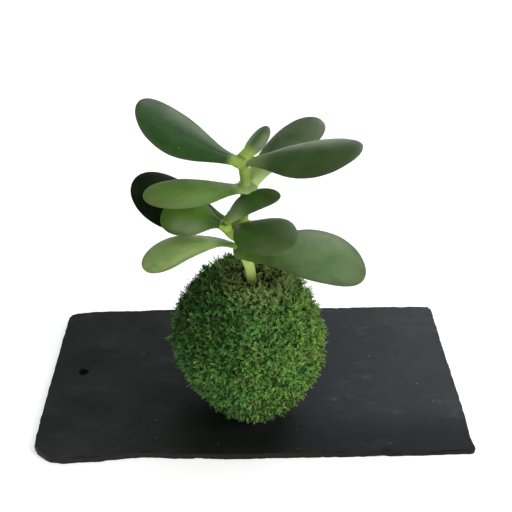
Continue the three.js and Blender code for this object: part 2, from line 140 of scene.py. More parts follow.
LEAF_ROWS = {
    "leaf_top_left": (
        "top", 167, 12, 35, -12, 6, 61, 33, 4, -0.6, dict(stalk=0.3, tone="spotted", pale=9, bloom_and_sheen=(0.36, 0.0)),
    ),
    "leaf_top_right": (
        "top", -30, 21, -5, 16, -12, 69.6, 30.8, 4.6, -2,
        dict(stalk=0.3, widest=0.64, spread=1, pale=23, bloom_and_sheen=(0.0, 1.0)),
    ),
    "leaf_young": (
        "tip", 32, 40, 4, 6, -5, 20.5, 12, 3, -0.5,
        dict(stalk=0.64, widest=0.5, tone="young", pale=9, bloom_and_sheen=(0.7, 0.9)),
    ),
    "leaf_upper_left": (
        "upper", 210, 20, -20, -5, 1, 57, 28, 4.2, -0.6, dict(stalk=0.38, tone="fresh", pale=12),
    ),
    "leaf_upper_right": (
        "upper", 33.5, 36, -28, -2, 15, 58, 26.4, 4.2, -1.6,
        dict(stalk=0.5, widest=0.67, spread=1.22, steep=30, tone="dusty_sheen", pale=24),
    ),
    "leaf_middle_left": ("middle", 166, 3, 35, -20, 1, 62, 33, 4.2, -0.4, dict(tone="shadowed", pale=44)),
    "leaf_middle_right": (
        "middle", -64, 31.4, -49, 6, 12, 43.6, 31.6, 4.4, -0.1,
        dict(stalk=0.33, widest=0.57, spread=0.96, blunt=2, tone="middle", pale=12, bloom_and_sheen=(0.0, 0.12)),
    ),
    "leaf_low_left": ("low", 205, 41, -58, 7, 33, 65.5, 28, 4.2, 0.4, dict(tone="pale", pale=18)),
    "leaf_low_right": (
        "below", -12.5, 7.5, -32, 12, 7, 71.5, 38, 4.2, 2,
        dict(
            stalk=0.33, widest=0.64, spread=1.02, clasp=36, foot=10.5, round=9, tone="grey", pale=30,
            bloom_and_sheen=(0.0, 0.5),
        ),
    ),
    "leaf_shoot_left": (
        "shoot", 178, 34, -51, -20, -4, 35.5, 27, 3.8, 0.1,
        dict(stalk=0.22, widest=0.58, tone="light", pale=20, bloom_and_sheen=(0.0, 0.6)),
    ),
    "leaf_shoot_right": (
        "shoot_top", 2, 53, -51, 20, -4, 32.6, 14.6, 3.4, 0.8,
        dict(stalk=0.56, widest=0.55, spread=0.6, blunt=1.9, rounding=0.55, tone="small", pale=17),
    ),
}
LEAVES = {
    name: {**LEAF_DEFAULTS, **dict(zip(LEAF_COLUMNS, row)), **details}
    for name, (*row, details) in LEAF_ROWS.items()
}

# The groove along the midrib, and how the blade's surface wavers
GROOVE = {"depth": 0.3, "width": 1.5}
SWAY = {"height": 0.35, "size": 17.0}
LEAF_STATIONS = 72
LEAF_SIDES = 48
MIDRIB_POINTS = 241
LEAF_END = 0.9993
# Parts of the leaf's length over which its roll, steep rise, clasp and rounding act, then lengths at its foot
ROLL_OVER = 0.35
STEEP_OVER = 0.09
CLASP_OVER = (0.34, 0.05)
ROUNDED_OVER = 0.12
FOOT_START = 1.0
FOOT_PALE = 4.0
STUB = {"start": 0.3, "stations": 14, "flare": 1.3, "taper": 1.9}
HEEL = {"out": 5.0, "down": 6.0, "radius": 1.3, "end_radius": 0.4, "rings": 16, "sides": 14}
# Where the stem's skin takes the darker green of the lowest right leaf, which clasps its front; that green is
# darkened as painted shadow of the leaf above
SHEATH = {"middle": (-1.5, -37.0, 117.5), "reach": (9.0, 5.0, 8.0)}
# Where it takes the greyer green of the pair of leaves above the side shoot
COLLAR = {"middle": (1.0, -31.0, 150.5), "reach": (7.0, 5.0, 4.5)}


def smoothstep(low, high, value):
    t = np.clip((value - low) / (high - low), 0.0, 1.0)
    return t * t * (3.0 - 2.0 * t)


def unit(vectors):
    return vectors / np.linalg.norm(vectors, axis=-1, keepdims=True)


def pointing(rise, azimuth):
    """Unit directions from slope and azimuth in radians."""
    return np.stack([np.cos(rise) * np.cos(azimuth), np.cos(rise) * np.sin(azimuth), np.sin(rise)], -1)


def full_turn(count):
    """Angles spread evenly round a circle."""
    return np.linspace(0.0, FULL_TURN, count, endpoint=False)


def flat_distance(points, at):
    """How far points lie from a place, seen from above."""
    return np.hypot(points[:, 0] - at[0], points[:, 1] - at[1])


def raised(flat, height):
    """Flat points at a height."""
    return np.column_stack([flat, np.full(len(flat), height)])


def smooth_noise(points, scale, seed=0.0, octaves=3):
    """Soft noise, roughly from -1 to 1, at points in millimetres; scale is the size of its largest lumps."""
    shift = Vector((seed * 17.3, seed * 5.9, seed * 11.1))
    values = (noise.fractal(Vector(p) / scale + shift, 0.8, 2.0, octaves) for p in points)
    return np.fromiter(values, float, len(points))


# Meshes
def place_object(name, data):
    placed = bpy.data.objects.new(name, data)
    bpy.context.scene.collection.objects.link(placed)
    return placed


def new_piece(name, points, faces, node, slot, material, floats=None, smooth=True):
    """A mesh on the body in a node's place. Each array in faces holds faces with one number of corners."""
    mesh = bpy.data.meshes.new(name)
    faces = [np.asarray(group, np.int32) for group in faces]
    corners = np.concatenate([group.ravel() for group in faces])
    sizes = np.concatenate([np.full(len(group), group.shape[1]) for group in faces])
    mesh.vertices.add(len(points))
    mesh.vertices.foreach_set("co", (np.asarray(points) * MM).astype(np.float32).ravel())
    mesh.loops.add(len(corners))
    mesh.loops.foreach_set("vertex_index", corners)
    mesh.polygons.add(len(sizes))
    mesh.polygons.foreach_set("loop_start", (np.cumsum(sizes) - sizes).astype(np.int32))
    mesh.update(calc_edges=True)
    mesh.validate()
    for label, values in (floats or {}).items():
        add_floats(mesh, label, values)
    mesh.polygons.foreach_set("use_smooth", np.full(len(mesh.polygons), smooth))
    mesh.materials.append(material)
    piece = place_object(name, mesh)
    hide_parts(node)
    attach(piece, BODY)
    return piece


def add_floats(mesh, label, values):
    mesh.attributes.new(label, "FLOAT", "POINT").data.foreach_set("value", np.asarray(values, np.float32))


def ring_quads(rings, sides, flip=False):
    """Quads between neighbouring rings of points, ring after ring in one list."""
    ring, side = np.meshgrid(np.arange(rings - 1), np.arange(sides), indexing="ij")
    a = (ring * sides + side).ravel()
    b = (ring * sides + (side + 1) % sides).ravel()
    quads = np.stack([a, b, b + sides, a + sides], -1)
    return quads[:, ::-1] if flip else quads


def close_ends(points, rings, sides):
    """Adds a middle point to the first and last ring, and gives the fans that close them."""
    around, end, count = np.arange(sides), (rings - 1) * sides, len(points)
    after = (around + 1) % sides
    fans = [(after, around, np.full(sides, count)), (end + around, end + after, np.full(sides, count + 1))]
    middles = points[:sides].mean(0), points[end:].mean(0)
    return np.vstack([points, *middles]), np.vstack([np.stack(fan, -1) for fan in fans])


def merge(parts):
    """Parts, each of points and then arrays of faces, as one array of points and one of each kind of face."""
    points, *kinds = zip(*parts)
    first = np.cumsum([0] + [len(part) for part in points])
    faces = [np.vstack([group + start for group, start in zip(kind, first)]) for kind in kinds]
    return np.vstack(points), faces


def even_directions(count):
    """Directions spread evenly over the sphere, along a spiral."""
    i = np.arange(count)
    z = 1.0 - 2.0 * (i + 0.5) / count
    turn = i * math.pi * (3.0 - math.sqrt(5.0))
    across = np.sqrt(1.0 - z * z)
    return np.column_stack([across * np.cos(turn), across * np.sin(turn), z])


def ellipsoid_reach(directions, radius, half_height):
    """How far an upright ellipsoid reaches in each direction."""
    level = np.hypot(directions[:, 0], directions[:, 1])
    return 1.0 / np.hypot(level / radius, directions[:, 2] / half_height)


def sphere_directions(subdivisions):
    """Unit directions and triangles of an even sphere."""
    sphere = bmesh.new()
    bmesh.ops.create_icosphere(sphere, subdivisions=subdivisions, radius=1.0)
    directions = unit(np.array([v.co[:] for v in sphere.verts]))
    triangles = np.array([[v.index for v in face.verts] for face in sphere.faces])
    sphere.free()
    return directions, triangles


# Materials
def srgb(red, green, blue):
    """A colour from its 0 to 255 screen values."""
    screen = np.array([red, green, blue]) / 255.0
    linear = np.where(screen <= 0.04045, screen / 12.92, ((screen + 0.055) / 1.055) ** 2.4)
    return (*linear, 1.0)


class Recipe:
    """One material's nodes, its colour and relief so far, and a short call for each kind of node."""

    def __init__(self, name):
        self.material = bpy.data.materials.new(name)
        self.material.use_nodes = True
        self.tree = self.material.node_tree
        self.place = self.node("ShaderNodeTexCoord").outputs["Object"]
        self.colour = self.relief = None

    def node(self, kind, inputs=None, **settings):
        made = self.tree.nodes.new(kind)
        for key, value in settings.items():
            setattr(made, key, value)
        for key, value in (inputs or {}).items():
            self.put(value, made.inputs[key])
        return made

    def put(self, value, socket):
        if isinstance(value, bpy.types.NodeSocket):
            self.tree.links.new(value, socket)
        else:
            socket.default_value = value

    def attribute(self, label):
        return self.node("ShaderNodeAttribute", attribute_name=label).outputs["Fac"]

    def noise(self, size, detail=3.0, rough=0.55, stretch=(1.0, 1.0, 1.0)):
        """Noise whose lumps are about size millimetres across."""
        at = self.node("ShaderNodeMapping", {"Vector": self.place, "Scale": stretch}).outputs["Vector"]
        inputs = {"Vector": at, "Scale": 1.0 / (size * MM), "Detail": detail, "Roughness": rough}
        return self.node("ShaderNodeTexNoise", inputs).outputs["Fac"]

    def dots(self, size):
        """Distance to scattered points about size millimetres apart, as a part of that size."""
        inputs = {"Vector": self.place, "Scale": 1.0 / (size * MM)}
        return self.node("ShaderNodeTexVoronoi", inputs).outputs["Distance"]

    def span(self, value, low, high, to_low=0.0, to_high=1.0):
        """Value from low to high, turned smoothly into to_low to to_high."""
        inputs = {"Value": value, "From Min": low, "From Max": high, "To Min": to_low, "To Max": to_high}
        return self.node("ShaderNodeMapRange", inputs, interpolation_type="SMOOTHSTEP").outputs["Result"]

    def maths(self, operation, first, second=0.0):
        made = self.node("ShaderNodeMath", operation=operation)
        self.put(first, made.inputs[0])
        self.put(second, made.inputs[1])
        return made.outputs[0]

    def times(self, first, second):
        return self.maths("MULTIPLY", first, second)

    def mix(self, share, first, second):
        """Two colours mixed, each either screen values or another node's colour."""
        made = self.node("ShaderNodeMix", data_type="RGBA")
        self.put(share, made.inputs[0])
        for tone, socket in ((first, made.inputs[6]), (second, made.inputs[7])):
            self.put(srgb(*tone) if isinstance(tone, tuple) else tone, socket)
        return made.outputs[2]

    def paint(self, share, tone, strength=1.0):
        """Lays a tone over the colour so far."""
        if strength < 1.0:
            share = self.times(share, strength)
        self.colour = self.mix(share, self.colour, tone)

    def emboss(self, height, depth):
        """Adds relief depth millimetres deep."""
        inputs = {"Height": height, "Distance": depth * MM, "Strength": 1.0}
        if self.relief:
            inputs["Normal"] = self.relief
        self.relief = self.node("ShaderNodeBump", inputs).outputs["Normal"]

    def finish(self, roughness, specular, others=None):
        """The material, with the colour and relief so far."""
        inputs = {"Base Color": self.colour, "Roughness": roughness, "Specular IOR Level": specular}
        if self.relief:
            inputs["Normal"] = self.relief
        shader = self.tree.nodes["Principled BSDF"]
        for key, value in {**inputs, **(others or {})}.items():
            self.put(value, shader.inputs[key])
        return self.material


def slate_material():
    """Split slate. Broken is 1 on the edges, and the hole mask is 1 on the nail hole's walls, painted near
    black as shade.
    """
    r = Recipe("slate_cleft")
    broken, hole_shade = r.attribute("broken"), r.attribute("hole_shade")
    to_right, to_back = r.node("ShaderNodeSeparateXYZ", {"Vector": r.place}).outputs[:2]
    # Painted shade: a mask along the front of the tile, in front of the ball and to its right
    front = r.times(r.span(to_back, -0.03, -0.06), r.span(to_right, -0.07, -0.02))
    cloud = r.noise(38.0, 5.0, 0.6, (1.0, 1.6, 1.0))
    # The lighter cloud colour turns bluish to the right, a painted reflection of the bright back right
    lighter = r.mix(r.span(to_right, -0.06, 0.06), (36, 40, 37), (36, 40, 44))
    r.colour = r.mix(r.span(cloud, 0.3, 0.7), (25, 29, 26), lighter)
    r.paint(r.span(r.noise(1.6, 4.0, 0.7), 0.35, 0.75, 0.0, 0.25), (46, 50, 49))
    # Pale bluish scuffs, laid mostly on the right: partly wear, partly painted sheen
    scuff_and_sheen = r.span(r.noise(13.0, 6.0, 0.7, (0.6, 1.3, 1.0)), 0.52, 0.68)
    scuff_and_sheen = r.times(scuff_and_sheen, r.span(to_right, 0.0, 0.08, 0.3, 1.0))
    r.paint(scuff_and_sheen, (88, 92, 98), 0.36)
    # Painted shadow: the front of the tile darkened there
    r.paint(front, (12, 14, 12), 0.6)
    rust = r.span(r.noise(14.0, 3.0, 0.6), 0.55, 0.7)
    r.paint(broken, r.mix(r.times(rust, 0.6), (29, 30, 28), (47, 36, 29)), 0.75)
    r.paint(r.span(r.dots(11.4), 0.035, 0.02), (175, 178, 176), 0.6)
    # Painted shade: the nail hole's walls near black
    r.paint(hole_shade, (9, 9, 8))
    rough = r.maths("ADD", r.span(cloud, 0.35, 0.65, 0.42, 0.53), r.times(scuff_and_sheen, 0.15))
    rough = r.maths("ADD", rough, r.times(front, 0.16))
    r.emboss(r.noise(5.0, 6.0, 0.65, (0.6, 1.0, 3.0)), 0.06)
    r.emboss(r.noise(0.7, 3.0, 0.6), 0.03)
    return r.finish(r.maths("MAXIMUM", rough, hole_shade), 0.2)


def moss_material(name, mat=False):
    """Living moss. Warm runs from emerald to yellow-green, dry to brown, tip from root to frond tip, and shade
    from dark to full colour, which is random tone with painted shade and painted light.
    """
    r = Recipe(name)
    warm, dry, shade, tip = (r.attribute(label) for label in ("warm", "dry", "shade", "tip"))
    fresh = r.mix(warm, (60, 134, 50), (117, 168, 60))
    lit = r.mix(warm, (132, 198, 112), (178, 214, 114))
    r.colour = r.mix(r.span(tip, 0.25, 1.0), fresh, lit)
    r.paint(dry, r.mix(r.span(tip, 0.2, 1.0), (118, 112, 64), (188, 180, 124)))
    # Painted shade: fronds darker towards their roots, deep among the fronds
    r.paint(r.span(tip, 0.4, 0.0, 0.0, 0.8), (16, 26, 11))
    r.paint(r.noise(1.1, 2.0), (20, 34, 14), 0.25)
    # Darker where shade is low: random tone together with painted shade and painted light
    r.paint(r.span(shade, 0.0, 0.9, 0.7, 0.0), (14, 28, 10))
    # Painted shade: the felt under the fronds darkened, as the shade between them
    if mat:
        r.paint(0.55, (15, 20, 9))
    r.emboss(r.noise(0.8, 3.0, 0.7), 0.3 if mat else 0.08)
    return r.finish(0.8, 0.12)


def soil_material():
    """Crumbly peat with pale fibres."""
    r = Recipe("soil_peat")
    r.colour = r.mix(r.span(r.noise(2.2, 5.0, 0.7), 0.35, 0.7), (28, 21, 14), (74, 57, 38))
    r.paint(r.span(r.noise(3.5, 4.0, 0.8, (1.0, 0.25, 1.0)), 0.62, 0.7), (118, 92, 60), 0.6)
    r.emboss(r.noise(1.0, 5.0, 0.75), 0.5)
    return r.finish(0.95, 0.2)


def stem_material():
    """Green succulent bark. Joint is 1 at a leaf scar, and height runs from the soil to the tip."""
    r = Recipe("stem_green")
    height = r.attribute("height")
    streak = r.noise(1.3, 3.0, 0.6, (1.0, 1.0, 0.12))
    # Painted light: the stem much paler and brighter low down, over the soil
    r.colour = r.mix(r.span(height, 0.1, 0.6), (234, 255, 146), (144, 170, 76))
    r.paint(r.span(streak, 0.42, 0.7, 0.0, 0.3), (120, 150, 66))
    r.paint(r.attribute("joint"), (160, 190, 76), 0.5)
    r.paint(r.attribute("collar"), (158, 184, 116))
    # Painted shadow: the clasped front of the stem darker, as under the leaf above
    r.paint(r.attribute("sheath"), (84, 112, 46))
    r.paint(r.times(r.span(height, 0.12, 0.0, 0.0, 0.7), r.span(streak, 0.3, 0.6)), (104, 84, 48))
    r.emboss(streak, 0.12)
    r.emboss(r.noise(0.35, 2.0), 0.02)
    return r.finish(0.48, 0.35)


# Each tone of leaf: upper side, its lighter patches, underside, stalk, margin and tip, and specular level.
# Some tones are lit or shaded copies of the leaf green, as painted light and shade, marked below
LEAF_TONES = {
    "dark": ((48, 75, 31), (58, 86, 38), (72, 96, 48), (116, 136, 78), (70, 74, 56), 0.25),
    "middle": ((44, 72, 18), (54, 86, 26), (72, 96, 48), (108, 128, 46), (74, 90, 52), 0.22),
    "spotted": ((24, 58, 8), (34, 70, 14), (72, 96, 50), (140, 168, 70), (54, 68, 44), 0.14),
    "young": ((62, 92, 36), (80, 110, 50), (88, 114, 56), (158, 182, 74), (118, 110, 108), 0.28),
    # A lit copy of the leaf green: painted light on the upper left leaf
    "fresh": ((72, 104, 30), (88, 120, 44), (88, 118, 52), (158, 188, 118), (88, 100, 60), 0.22),
    # A lit copy of the leaf green: painted light on the shoot's left leaf, its stalk darkened as painted shade
    "light": ((86, 122, 40), (104, 140, 54), (96, 126, 58), (56, 88, 22), (48, 68, 28), 0.12),
    # A lit copy of the leaf green: painted light on the low left leaf that faces the light
    "pale": ((142, 172, 96), (158, 186, 114), (120, 150, 82), (160, 186, 110), (70, 88, 46), 0.25),
    # Its stalk colour is darkened as painted shadow of the leaf above
    "grey": ((72, 101, 44), (90, 117, 66), (80, 106, 60), (84, 112, 42), (76, 80, 68), 0.23),
    # This tone's grey margins and tip are partly a dusty bloom and partly painted sheen
    "dusty_sheen": ((56, 80, 42), (74, 94, 60), (84, 108, 62), (220, 244, 166), (92, 96, 84), 0.25),
    "small": ((50, 80, 24), (60, 92, 34), (76, 100, 50), (148, 168, 108), (70, 72, 58), 0.25),
    # Painted shade: a near black copy of the leaf green, for the leaf that lies in the shade of the leaves
    # above
    "shadowed": ((14, 27, 9), (24, 42, 15), (22, 42, 15), (82, 114, 42), (20, 28, 17), 0.05),
}
# Pale grey for the margins: partly waxy bloom, partly painted sheen where the margins catch the light
BLOOM_AND_SHEEN = (150, 162, 140)


def leaf_material(tone):
    """Waxy blade. Along runs from stem to tip, across from margin to margin, and upper is 1 on the top."""
    r = Recipe("leaf_" + tone)
    top, patch, under, stalk, rim, specular = LEAF_TONES[tone]
    along, across, upper, foot = (r.attribute(label) for label in ("along", "across", "upper", "foot"))
    from_midrib = r.maths("ABSOLUTE", across)
    face = r.mix(r.span(r.noise(12.0, 3.0, 0.55), 0.35, 0.7), top, patch)
    face = r.mix(r.span(r.noise(2.4, 4.0, 0.7), 0.5, 0.8, 0.0, 0.3), face, patch)
    r.colour = r.mix(upper, under, face)
    dot = r.span(r.dots(1.25), 0.2, 0.11)
    r.paint(dot, stalk, 0.18)
    r.paint(r.times(r.span(from_midrib, 0.07, 0.0), r.span(along, 0.6, 0.1, 0.0, 0.12)), stalk)
    # Margins paled, fading out near the tip: partly waxy bloom, partly painted sheen
    dust_and_sheen = r.times(r.attribute("bloom_and_sheen"), r.span(r.noise(7.0, 4.0, 0.65), 0.25, 0.7, 0.6, 1.0))
    r.paint(r.times(dust_and_sheen, r.span(along, 0.95, 0.7)), BLOOM_AND_SHEEN, 0.8)
    # The stalk colour at the foot, darkened as painted shade in the light and grey tones
    r.paint(foot, stalk)
    r.paint(r.times(r.span(from_midrib, 0.76, 1.0), r.span(along, 0.15, 0.8, 0.1, 0.6)), rim)
    r.paint(r.times(r.span(along, 0.68, 1.0), r.span(r.noise(5.0), 0.3, 0.7, 0.25, 0.6)), rim)
    if tone == "spotted":
        fleck = r.times(r.span(r.dots(4.2), 0.12, 0.05), r.span(r.noise(14.0), 0.5, 0.62))
        r.paint(fleck, (186, 196, 178), 0.7)
    rough = r.maths("ADD", r.span(r.noise(6.0, 3.0), 0.3, 0.7, 0.4, 0.52), r.times(dot, 0.05))
    r.emboss(r.noise(3.2, 3.0, 0.6), 0.12)
    r.emboss(dot, 0.025)
    r.emboss(r.noise(0.3, 2.0), 0.012)
    return r.finish(rough, specular)


# Slate tile
def slate_outline():
    """Points of the tile's edge, with the outward direction at each."""
    corners = np.array(SLATE_CORNERS, float)
    points, outward = [], []
    for start, end in zip(corners, np.roll(corners, -1, axis=0)):
        span = np.linalg.norm(end - start)
        steps = max(1, round(span / SLATE_EDGE_STEP))
        normal = np.array([end[1] - start[1], start[0] - end[0]]) / span
        for k in range(steps):
            points.append(start + (end - start) * k / steps)
            outward.append(normal)
    outward = np.array(outward)
    softened = outward + np.roll(outward, 1, axis=0) + np.roll(outward, -1, axis=0)
    return np.array(points), unit(softened)


def slate_relief(points):
    """How far the split face lies below its highest plane: shallow terraces with a fine grain."""
    flat = np.column_stack([points[:, 0], points[:, 1] * 1.5, np.zeros(len(points))])
    level = (smooth_noise(flat, SLATE_FACE["terrace_size"], 1.0, 4) + 1.0) * SLATE_FACE["terraces"]
    terrace = np.floor(level) + smoothstep(0.3, 0.6, level % 1.0)
    grain = SLATE_FACE["grain"] * (smooth_noise(flat, SLATE_FACE["grain_size"], 2.0, 3) + 1.0)
    return SLATE_FACE["terrace"] * np.clip(terrace, 0.0, 5.0) + grain


def slate_tile():
    """A split plate whose edge breaks back in thin layers, with a nail hole that spalled at the face."""
    edge, outward = slate_outline()
    sides = len(edge)
    at = raised(edge, 0.0)
    ragged = SLATE_EDGE["ragged"] * smooth_noise(at, 7.0, 3.0, 3)
    loops = []
    for layer, (low, high) in enumerate(zip(SLATE_LAYERS[:-1], SLATE_LAYERS[1:])):
        inset = SLATE_EDGE["inset"] + SLATE_EDGE["uneven"] * smooth_noise(at, 4.0, 10.0 + layer, 3)
        inset += SLATE_EDGE["chips"] * smoothstep(0.35, 0.8, smooth_noise(at, 13.0, 30.0 + layer, 2))
        if layer == len(SLATE_LAYERS) - 2:
            inset += 0.15 + SLATE_EDGE["face_chips"] * smoothstep(0.4, 0.8, smooth_noise(at, 9.0, 50.0, 3))
        for height, lean in ((low, 0.0), (high, SLATE_EDGE["lean"])):
            loops.append(raised(edge + outward * (ragged - inset - lean)[:, None], height))
    loops[-1][:, 2] -= slate_relief(loops[-1])
    walls = np.vstack(loops)

    turn = full_turn(NAIL_HOLE["sides"])
    spread = 1.0 + 0.1 * np.sin(3.0 * turn + 1.0) + 0.05 * np.sin(7.0 * turn)
    circle = np.column_stack([np.cos(turn), np.sin(turn)])
    hole_loops = []
    for height, radius in NAIL_HOLE_RADII:
        hole_loops.append(raised(NAIL_HOLE["at"] + (radius * spread)[:, None] * circle, height))
    hole_loops[-1][:, 2] -= slate_relief(hole_loops[-1])
    hole = np.vstack(hole_loops)

    (left, front, _), (right, back, _) = (np.array(corner) / MM for corner in cad_box)
    grid = np.meshgrid(np.arange(left, right, SLATE_GRID_STEP), np.arange(front, back, SLATE_GRID_STEP))
    grid = np.stack(grid, -1).reshape(-1, 2)
    grid += np.random.default_rng(SEEDS["slate"]).uniform(-0.3, 0.3, grid.shape) * SLATE_GRID_STEP
    top_points, top = plate_face(loops[-1], hole_loops[-1], grid)
    bottom_points, bottom = plate_face(loops[0], hole_loops[0], grid[:0])

    parts = [walls, hole, top_points, bottom_points]
    first = np.cumsum([0] + [len(part) for part in parts])
    points = np.vstack(parts)
    faces = [
        ring_quads(len(loops), sides), ring_quads(len(hole_loops), len(turn), flip=True) + first[1],
        top + first[2], bottom[:, ::-1] + first[3],
    ]
    broken = np.concatenate([np.ones(len(walls)), np.full(len(hole), 0.6), np.zeros(len(points) - first[2])])
    broken[first[1] - sides : first[1]] = 0.5
    # Painted shade: every ring of the nail hole but the top one is painted near black
    hole_shade = np.zeros(len(points))
    hole_shade[first[1] : first[2] - len(turn)] = 1.0
    looks = {"broken": broken, "hole_shade": hole_shade}
    material = slate_material()
    piece = new_piece("slate_plate", points, faces, "slate_tile", "slate", material, looks, smooth=False)
    weld(piece, SLATE_WELD)


def plate_face(rim, hole_rim, inner):
    """Triangles over the flat between the rim and the hole, through the inner points."""
    hole = NAIL_HOLE["at"]
    keep = inside_by(inner, rim[:, :2], SLATE_GRID_STEP * 0.6)
    inner = inner[keep & (flat_distance(inner, hole) > NAIL_HOLE_RADII[-1][1] * 1.3)]
    flat = np.vstack([rim[:, :2], hole_rim[:, :2], inner])
    edges = []
    for start, count in ((0, len(rim)), (len(rim), len(hole_rim))):
        edges += [(start + i, start + (i + 1) % count) for i in range(count)]
    made = delaunay_2d_cdt([Vector(p) for p in flat], edges, [], 1, 1e-5)
    places, triangles = np.array([v[:] for v in made[0]]), np.array(made[2])
    middle = places[triangles].mean(1)
    turn, around = (np.arctan2(found[:, 1] - hole[1], found[:, 0] - hole[0]) for found in (middle, hole_rim))
    reach = np.interp(turn, around, flat_distance(hole_rim, hole), period=FULL_TURN)
    height = SLATE_THICK - slate_relief(places) if len(inner) else np.full(len(places), rim[:, 2].min())
    return np.column_stack([places, height]), triangles[flat_distance(middle, hole) > reach]


def inside_by(points, rim, margin):
    """Which points lie inside the rim and at least margin away from it."""
    inside, clear = np.zeros(len(points), bool), np.ones(len(points), bool)
    for a, b in zip(rim, np.roll(rim, -1, axis=0)):
        crosses = (a[1] > points[:, 1]) != (b[1] > points[:, 1])
        if crosses.any():
            x = a[0] + (points[crosses, 1] - a[1]) * (b[0] - a[0]) / (b[1] - a[1])
            inside[crosses] ^= points[crosses, 0] < x
        clear &= flat_distance(points, a) > margin
    return inside & clear


def weld(piece, distance):
    """Joins points that lie on each other, distance in millimetres."""
    work = bmesh.new()
    work.from_mesh(piece.data)
    bmesh.ops.remove_doubles(work, verts=work.verts, dist=distance * MM)
    bmesh.ops.recalc_face_normals(work, faces=work.faces)
    work.to_mesh(piece.data)
    work.free()


# Moss
def tufts():
    """Where the moss rises in tufts: directions from the ball's middle, and heights, as in the solid."""
    factor, step, limit = TUFT_DRAWS
    state, draws = SEEDS["tufts"], []
    for _ in range(4 * TUFT["count"]):
        state = (state * factor + step) % limit
        draws.append(state / limit)
    offsets, heights = np.split(np.array(draws), [3 * TUFT["count"]])
    directions = even_directions(TUFT["count"]) + TUFT["nudge"] * (offsets.reshape(-1, 3) - 0.5)
    return unit(directions), TUFT["lowest"] + (1.0 - TUFT["lowest"]) * heights


TUFT_DIRECTIONS, TUFT_HEIGHTS = tufts()
BALL_MIDDLE = np.array([BALL["x"], BALL["y"], BALL["z"]])


def crater_distance(points):
    return flat_distance(points, CRATER["at"])


def to_right_of_ball(points):
    return (points[:, 0] - BALL["x"]) / BALL["radius"]


def moss_skin(directions):
    """The moss's surface in each direction, and the direction of the tuft that it belongs to."""
    points, owners = [], []
    for part in np.array_split(directions, max(1, len(directions) // 8000)):
        away = 2.0 - 2.0 * part @ TUFT_DIRECTIONS.T
        rise = TUFT_HEIGHTS * np.exp(-away / TUFT["spread"] ** 2)
        relief = TUFT["height"] * (rise.max(1) - TUFT["sunk"])
        for toward, depth, dent_reach in DENTS:
            relief -= depth * np.exp(-(2.0 - 2.0 * part @ unit(np.array(toward))) / dent_reach**2)
        reach = ellipsoid_reach(part, BALL["radius"], BALL["half_height"])
        points.append(part * (reach + relief)[:, None] + BALL_MIDDLE)
        owners.append(TUFT_DIRECTIONS[rise.argmax(1)])
    skin, owner = np.vstack(points), np.vstack(owners)
    from_crater = crater_distance(skin) / CRATER["radius"]
    sunk = CRATER["depth"] * (1.0 - smoothstep(CRATER["flat_part"], 1.0, from_crater))
    skin[:, 2] -= np.where(directions[:, 2] > 0, sunk, 0.0)
    skin[:, 2] = np.maximum(skin[:, 2], SLATE_THICK)
    return skin, owner


# How much the moss's normals lean away from the ball's middle, which evens them out
NORMAL_LEAN = 0.6


def skin_normals(directions, step=0.02):
    """Outward directions on the moss's surface, from neighbouring points of it."""
    side = unit(np.cross(directions, np.roll(UP, 1) + 0.01 * UP))
    front = np.cross(directions, side)
    here = moss_skin(directions)[0]
    one = moss_skin(unit(directions + step * side))[0] - here
    other = moss_skin(unit(directions + step * front))[0] - here
    normal = unit(np.cross(one, other) + 1e-9)
    facing = (normal * directions).sum(-1, keepdims=True)
    return unit(np.where(facing < 0, -normal, normal) + NORMAL_LEAN * directions)


def moss_looks(points, rng):
    """How warm and how dry the moss is at each point."""
    height = (points[:, 2] - SLATE_THICK) / (2.0 * BALL["half_height"])
    to_right = to_right_of_ball(points)
    patch = smooth_noise(points, 16.0, 4.0, 3)
    warm = 0.34 + 0.35 * to_right + 0.15 * (0.35 - height) + 0.4 * patch + rng.normal(0.0, 0.16, len(points))
    from_crater = crater_distance(points)
    crown = smoothstep(30.0, 12.0, from_crater) * smoothstep(60.0, 90.0, points[:, 2])
    left_top = smoothstep(0.1, -0.9, to_right) * smoothstep(0.4, 0.85, height)
    patchy = 0.25 * smoothstep(0.05, 0.6, smooth_noise(points, 11.0, 8.0, 3))
    dry = 0.5 * crown + 0.12 * left_top + patchy + rng.normal(0.0, 0.12, len(points))
    return np.clip(warm, 0.0, 1.0), np.clip(dry, 0.0, 1.0)


# How rough the felt is, how far it lies below the solid's skin, there and inside a tuft, and at the opening
FELT = {"rough": 0.45, "sunk": 0.9, "tuft_sunk": 0.7, "opening": 6.0}


def moss_mat():
    """The close felt of stems that the fronds stand on, open over the soil round the stem."""
    directions, triangles = sphere_directions(7)
    skin, owner = moss_skin(directions)
    from_tuft = np.linalg.norm(directions - owner, axis=-1)
    rough = FELT["rough"] * smooth_noise(skin, 1.8, 6.0, 3) - FELT["sunk"]
    rough -= FELT["tuft_sunk"] * smoothstep(0.07, 0.02, from_tuft)
    points = skin + directions * rough[:, None]
    from_crater = crater_distance(points)
    opening = smoothstep(1.15, 0.85, from_crater / OPENING_RADIUS) * (directions[:, 2] > 0)
    points[:, 2] -= FELT["opening"] * opening
    points[:, 2] = np.maximum(points[:, 2], SLATE_THICK)
    warm, dry = moss_looks(points, np.random.default_rng(SEEDS["felt"]))
    # Painted shade on the felt, lifted to painted light in the crater round the stem
    shade = 0.3 + 0.5 * smoothstep(20.0, 12.0, from_crater) * (directions[:, 2] > 0)
    looks = {"warm": warm, "dry": dry, "shade": shade, "tip": np.full(len(points), 0.25)}
    material = moss_material("moss_mat", mat=True)
    new_piece("moss_mat", points, [triangles], "moss_wrap", "moss", material, looks)


